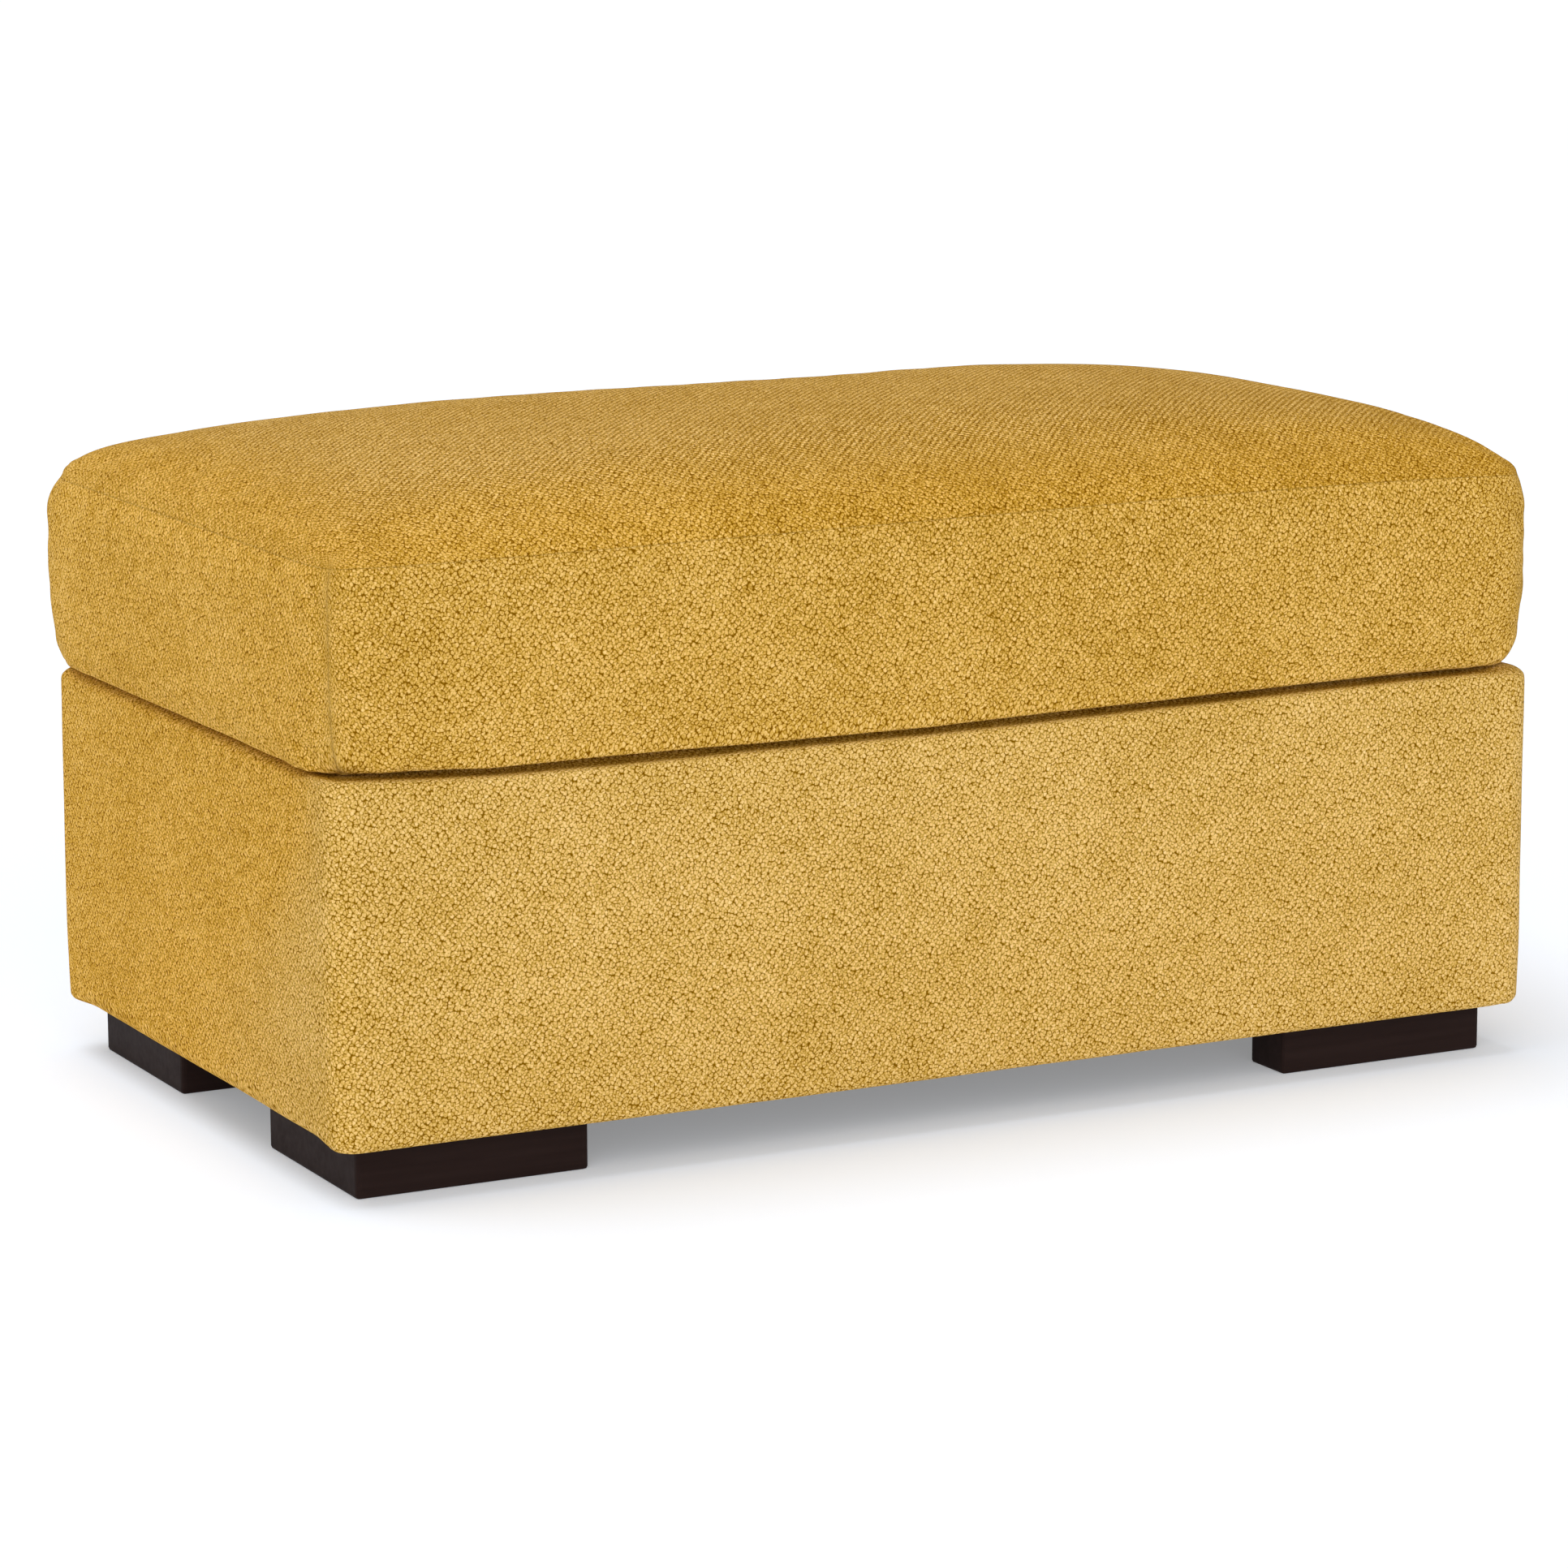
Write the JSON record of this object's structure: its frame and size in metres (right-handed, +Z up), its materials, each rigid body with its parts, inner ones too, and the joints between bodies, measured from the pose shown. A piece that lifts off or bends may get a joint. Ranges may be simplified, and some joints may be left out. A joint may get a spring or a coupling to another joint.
{
  "type": "storage ottoman",
  "caption": "Rectangular upholstered ottoman with a hinged, crowned cushion lid over a lined storage box, on L-shaped block feet.",
  "frame": {"origin": "on the floor, under the middle of the ottoman", "axes": "+X along its width, front facing -Y, hinges at +Y, +Z up"},
  "size_m": [1.1, 0.619, 0.561],
  "materials": {
    "upholstery": "matte",
    "padding": "matte",
    "foam": "matte",
    "plywood": "matte",
    "lining": "matte",
    "dust_cover": "matte",
    "espresso_wood": "satin",
    "zinc_steel": "satin",
    "plated_steel": "satin"
  },
  "bodies": {
    "base": {"front_panel": "plywood", "back_panel": "plywood", "left_side_panel": "plywood", "right_side_panel": "plywood", "front_left_corner_block": "plywood", "front_right_corner_block": "plywood", "back_left_corner_block": "plywood", "back_right_corner_block": "plywood", "front_cleat": "plywood", "back_cleat": "plywood", "left_cleat": "plywood", "right_cleat": "plywood", "storage_floor": "plywood", "front_pad": "padding", "back_pad": "padding", "left_side_pad": "padding", "right_side_pad": "padding", "base_cover": "upholstery", "storage_lining": "lining", "dust_cover": "dust_cover", "front_left_foot": "espresso_wood", "front_left_foot_front_leg_screw": "zinc_steel", "front_left_foot_side_leg_screw": "zinc_steel", "front_right_foot": "espresso_wood", "front_right_foot_front_leg_screw": "zinc_steel", "front_right_foot_side_leg_screw": "zinc_steel", "back_left_foot": "espresso_wood", "back_left_foot_front_leg_screw": "zinc_steel", "back_left_foot_side_leg_screw": "zinc_steel", "back_right_foot": "espresso_wood", "back_right_foot_front_leg_screw": "zinc_steel", "back_right_foot_side_leg_screw": "zinc_steel", "left_hinge_base_leaf": "zinc_steel", "left_hinge_pin": "zinc_steel", "left_stay_base_bracket": "plated_steel", "left_stay_base_pivot": "plated_steel", "right_hinge_base_leaf": "zinc_steel", "right_hinge_pin": "zinc_steel", "right_stay_base_bracket": "plated_steel", "right_stay_base_pivot": "plated_steel"},
    "lid": {"lid_board": "plywood", "lid_foam": "foam", "lid_fibre_wrap": "padding", "lid_cover": "upholstery", "lid_underlining": "lining", "left_hinge_lid_leaf": "zinc_steel", "left_stay_lid_bracket": "plated_steel", "left_stay_lid_pivot": "plated_steel", "right_hinge_lid_leaf": "zinc_steel", "right_stay_lid_bracket": "plated_steel", "right_stay_lid_pivot": "plated_steel"},
    "left_arm": {"left_stay_arm": "plated_steel", "left_stay_elbow_rivet": "plated_steel"},
    "right_arm": {"right_stay_arm": "plated_steel", "right_stay_elbow_rivet": "plated_steel"},
    "left_link": {"left_stay_link": "plated_steel"},
    "right_link": {"right_stay_link": "plated_steel"}
  },
  "joints": [
    {"name": "lid_hinge", "type": "hinge", "parent": "base", "child": "lid", "pos_m": [0, 0.304, 0.3325], "axis": [-1, 0, 0], "range_deg": [0, 90]},
    {"name": "left_arm_pivot", "type": "hinge", "parent": "base", "child": "left_arm", "pos_m": [-0.5092, 0.244, 0.2725], "axis": [-1, 0, 0], "range_deg": [0, 90]},
    {"name": "left_elbow", "type": "hinge", "parent": "left_arm", "child": "left_link", "pos_m": [-0.5092, 0.074, 0.2605], "axis": [-1, 0, 0], "range_deg": [-90, 0]},
    {"name": "right_arm_pivot", "type": "hinge", "parent": "base", "child": "right_arm", "pos_m": [0.5092, 0.244, 0.2725], "axis": [-1, 0, 0], "range_deg": [0, 90]},
    {"name": "right_elbow", "type": "hinge", "parent": "right_arm", "child": "right_link", "pos_m": [0.5092, 0.074, 0.2605], "axis": [-1, 0, 0], "range_deg": [-90, 0]}
  ],
  "couplings": [
    {"joint": "left_arm_pivot", "follows": "lid_hinge", "ratio": 1},
    {"joint": "left_elbow", "follows": "lid_hinge", "ratio": -1},
    {"joint": "right_arm_pivot", "follows": "lid_hinge", "ratio": 1},
    {"joint": "right_elbow", "follows": "lid_hinge", "ratio": -1}
  ]
}
